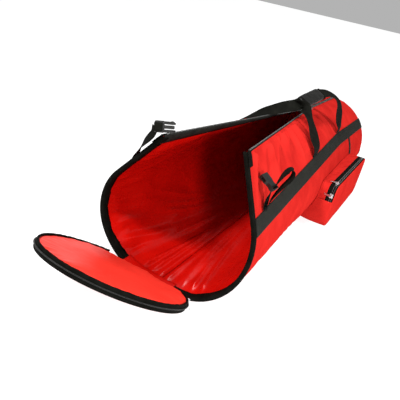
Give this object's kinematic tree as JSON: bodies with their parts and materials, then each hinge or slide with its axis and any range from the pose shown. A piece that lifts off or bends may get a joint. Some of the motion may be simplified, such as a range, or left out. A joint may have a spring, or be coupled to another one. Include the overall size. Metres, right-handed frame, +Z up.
{
  "type": "fire blanket carry bag",
  "caption": "Long padded cylindrical carry bag for a vehicle fire blanket, lying unzipped with its round end lid folded open, side pocket, carry handles and closing straps.",
  "frame": {"origin": "middle of the flat strip that the bag rests on, half way along its length", "axes": "+Z up, +Y along the bag from its open mouth to its closed end, +X to the side with the pocket"},
  "size_m": [0.4928, 1.683, 0.459],
  "materials": {
    "red_cloth": "coated woven nylon, satin",
    "lining": "slick woven nylon, semi gloss",
    "foam": "closed cell foam, matt",
    "binding": "woven tape, matt",
    "webbing": "woven webbing, matt",
    "grip": "coated cloth, satin",
    "zip_tape": "woven tape, matt",
    "zip_coil": "satin",
    "slider": "plated",
    "buckle": "satin moulded"
  },
  "bodies": {
    "bag": {"base_panel": "red_cloth", "right_side_panel": "red_cloth", "left_side_panel": "red_cloth", "right_foam": "foam", "left_foam": "foam", "right_lining": "lining", "left_lining": "lining", "end_cloth": "red_cloth", "end_foam": "foam", "end_lining": "lining", "right_binding": "binding", "left_binding": "binding", "right_tab": "binding", "left_tab": "binding", "right_band": "webbing", "left_band": "webbing", "pocket_strap": "webbing", "right_zip_tape": "zip_tape", "left_zip_tape": "zip_tape", "right_zip_coil": "zip_coil", "left_zip_coil": "zip_coil", "hinge_flap": "red_cloth", "pocket_tray": "red_cloth", "pocket_gusset": "red_cloth", "pocket_gusset_tape": "zip_tape", "pocket_gusset_coil": "zip_coil", "end_loop": "webbing"},
    "lid": {"lid_cloth": "red_cloth", "lid_foam": "foam", "lid_lining": "lining", "lid_zip_tape": "zip_tape", "lid_zip_coil": "zip_coil"},
    "lid_left_slider": {"lid_left_slider": "slider"},
    "lid_left_puller": {"lid_left_puller": "slider"},
    "lid_right_slider": {"lid_right_slider": "slider"},
    "lid_right_puller": {"lid_right_puller": "slider"},
    "zip_slider": {"zip_slider": "slider"},
    "zip_puller": {"zip_puller": "slider"},
    "pocket_flap": {"pocket_flap": "red_cloth", "pocket_flap_tape": "zip_tape", "pocket_flap_coil": "zip_coil"},
    "pocket_rear_slider": {"pocket_rear_slider": "slider"},
    "pocket_rear_puller": {"pocket_rear_puller": "slider"},
    "pocket_front_slider": {"pocket_front_slider": "slider"},
    "pocket_front_puller": {"pocket_front_puller": "slider"},
    "handles": {"right_handle": "webbing", "left_handle": "webbing", "grip_sleeve": "grip"},
    "grip_flap": {"grip_flap": "grip"},
    "left_strap": {"left_strap": "webbing", "male_buckle": "buckle"},
    "upper_arm": {"upper_arm": "buckle"},
    "lower_arm": {"lower_arm": "buckle"},
    "right_strap": {"right_strap": "webbing", "female_buckle": "buckle"}
  },
  "joints": [
    {"name": "lid_hinge", "type": "hinge", "parent": "bag", "child": "lid", "pos_m": [-0.034, -0.695, 0.028], "axis": [-1, 0, 0], "range_deg": [-34, 65]},
    {"name": "lid_left_zip_travel", "type": "hinge", "parent": "lid", "child": "lid_left_slider", "pos_m": [-0.034, -0.8204, 0.10767], "axis": [0, 0.5, 0.866], "range_deg": [0, 130]},
    {"name": "lid_right_zip_travel", "type": "hinge", "parent": "lid", "child": "lid_right_slider", "pos_m": [-0.034, -0.8204, 0.10767], "axis": [0, -0.5, -0.866], "range_deg": [0, 123]},
    {"name": "lid_left_puller_swing", "type": "hinge", "parent": "lid_left_slider", "child": "lid_left_puller", "pos_m": [-0.1703, -0.69382, 0.03459], "axis": [-0.7314, -0.5906, 0.341], "range_deg": [-40, 25]},
    {"name": "lid_right_puller_swing", "type": "hinge", "parent": "lid_right_slider", "child": "lid_right_puller", "pos_m": [0.11909, -0.70915, 0.04344], "axis": [-0.6428, 0.6634, -0.383], "range_deg": [-40, 25]},
    {"name": "zip_travel", "type": "slide", "parent": "bag", "child": "zip_slider", "axis": [0, 1, 0], "range_m": [0, 0.36]},
    {"name": "zip_puller_swing", "type": "hinge", "parent": "zip_slider", "child": "zip_puller", "pos_m": [0, 0.285, 0.35725], "axis": [0, -1, 0], "range_deg": [0, 90]},
    {"name": "pocket_flap_hinge", "type": "hinge", "parent": "bag", "child": "pocket_flap", "pos_m": [0.264, 0.22, 0.1315], "axis": [0, 1, 0], "range_deg": [0, 60]},
    {"name": "pocket_rear_zip_travel", "type": "slide", "parent": "bag", "child": "pocket_rear_slider", "axis": [0, 1, 0], "range_m": [0, 0.385]},
    {"name": "pocket_rear_puller_swing", "type": "hinge", "parent": "pocket_rear_slider", "child": "pocket_rear_puller", "pos_m": [0.252, 0.02, 0.19985], "axis": [0, 1, 0], "range_deg": [0, 160]},
    {"name": "pocket_front_zip_travel", "type": "slide", "parent": "bag", "child": "pocket_front_slider", "axis": [0, 0, -1], "range_m": [0, 0.015]},
    {"name": "pocket_front_puller_swing", "type": "hinge", "parent": "pocket_front_slider", "child": "pocket_front_puller", "pos_m": [0.252, -0.02185, 0.158], "axis": [0, 0, 1], "range_deg": [0, 160]},
    {"name": "handle_lift", "type": "slide", "parent": "bag", "child": "handles", "axis": [0, 0, 1], "range_m": [0, 0.03], "deforming": ["right_handle", "left_handle"]},
    {"name": "grip_flap_hinge", "type": "hinge", "parent": "handles", "child": "grip_flap", "pos_m": [0.07432, 0.08838, 0.43326], "axis": [0.0659, 0.9929, 0.0993], "range_deg": [0, 110]},
    {"name": "left_strap_flop", "type": "hinge", "parent": "bag", "child": "left_strap", "pos_m": [-0.155, -0.631, 0.306], "axis": [0, -1, 0], "range_deg": [-2, 60]},
    {"name": "upper_arm_squeeze", "type": "hinge", "parent": "left_strap", "child": "upper_arm", "pos_m": [-0.07066, -0.64958, 0.42944], "axis": [-0.4506, 0.888, -0.092], "range_deg": [0, 6], "stiffness_Nm_per_rad": 0.5},
    {"name": "lower_arm_squeeze", "type": "hinge", "parent": "left_strap", "child": "lower_arm", "pos_m": [-0.06748, -0.65003, 0.4095], "axis": [0.4506, -0.888, 0.092], "range_deg": [0, 6], "stiffness_Nm_per_rad": 0.5},
    {"name": "right_strap_flop", "type": "hinge", "parent": "bag", "child": "right_strap", "pos_m": [0.205, -0.583, 0.291], "axis": [0, 1, 0], "range_deg": [-1, 50]}
  ],
  "couplings": [
    {"joint": "lower_arm_squeeze", "follows": "upper_arm_squeeze", "ratio": 1}
  ]
}
